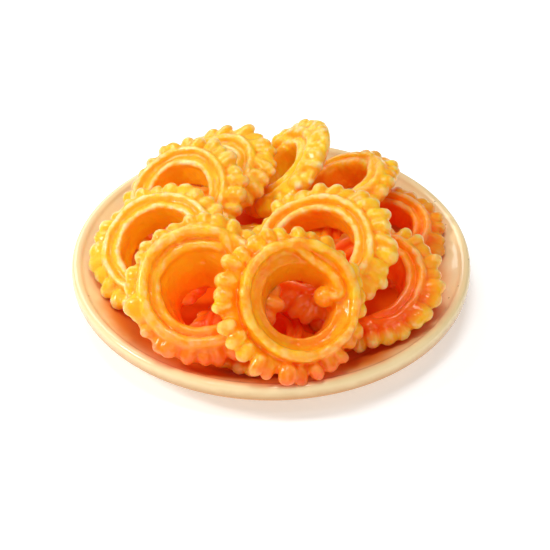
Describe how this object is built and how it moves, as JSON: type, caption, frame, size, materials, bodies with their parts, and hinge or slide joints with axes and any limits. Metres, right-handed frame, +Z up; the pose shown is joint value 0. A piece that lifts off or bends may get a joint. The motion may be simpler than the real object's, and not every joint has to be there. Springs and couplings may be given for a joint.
{
  "type": "plate of sweets",
  "caption": "Round cream stoneware plate heaped with jangiri: golden fried rings with a double strand on top, a skirt of beaded lobes and a gloss of syrup.",
  "frame": {"origin": "middle of the plate's flat foot, on the surface it stands on", "axes": "+Z up; -Y towards the picture's camera, +X to the picture's right"},
  "size_m": [0.2, 0.2, 0.068],
  "materials": {
    "plate_glaze": "cream glaze, glossy",
    "syrup_crust": "golden fried batter wet with syrup"
  },
  "bodies": {
    "root": {"plate": "plate_glaze", "jangiri_front": "syrup_crust", "jangiri_front_left": "syrup_crust", "jangiri_left": "syrup_crust", "jangiri_back_left": "syrup_crust", "jangiri_back": "syrup_crust", "jangiri_back_upright": "syrup_crust", "jangiri_back_right": "syrup_crust", "jangiri_top": "syrup_crust", "jangiri_right": "syrup_crust", "jangiri_front_right": "syrup_crust", "jangiri_under_front": "syrup_crust", "jangiri_under_middle": "syrup_crust"}
  },
  "joints": []
}
